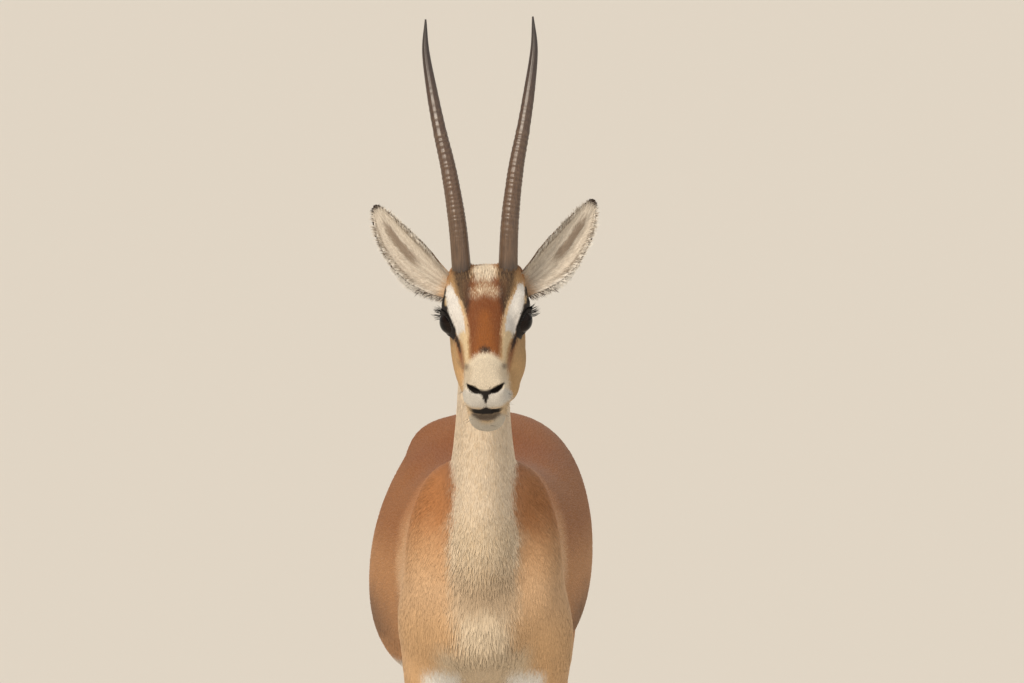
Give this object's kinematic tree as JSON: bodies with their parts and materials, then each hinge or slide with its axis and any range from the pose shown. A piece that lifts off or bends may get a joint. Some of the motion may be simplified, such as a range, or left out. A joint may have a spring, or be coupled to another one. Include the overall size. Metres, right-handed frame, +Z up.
{
  "type": "gazelle",
  "caption": "Standing gazelle model, life-size, with long ringed horns, cupped ears, slender legs on cloven hooves and a hanging tufted tail",
  "frame": {"origin": "on the floor at the middle of the bounding box, which the hooves stand on", "axes": "+Z up, the animal faces -Y and its left side is +X"},
  "size_m": [0.3065, 1.0732, 1.393],
  "materials": {
    "face_coat": "short rufous face coat",
    "fawn_coat": "short fawn coat",
    "pale_coat": "short whitish coat",
    "dark_hair": "coarse black hair",
    "eye": "wet dark eye",
    "horn": "ridged satin horn",
    "hoof": "satin dark hoof"
  },
  "bodies": {
    "root": {"head": "face_coat", "neck": "fawn_coat", "torso": "fawn_coat", "tail": "pale_coat", "tail_tuft": "dark_hair", "foreleg_left": "fawn_coat", "foreleg_right": "fawn_coat", "hindleg_left": "fawn_coat", "hindleg_right": "fawn_coat", "ear_left": "pale_coat", "ear_right": "pale_coat", "eye_left": "eye", "eye_right": "eye", "horn_left": "horn", "horn_right": "horn", "hoof_fore_left_inner": "hoof", "hoof_fore_left_outer": "hoof", "hoof_fore_right_inner": "hoof", "hoof_fore_right_outer": "hoof", "hoof_hind_left_inner": "hoof", "hoof_hind_left_outer": "hoof", "hoof_hind_right_inner": "hoof", "hoof_hind_right_outer": "hoof"}
  },
  "joints": []
}
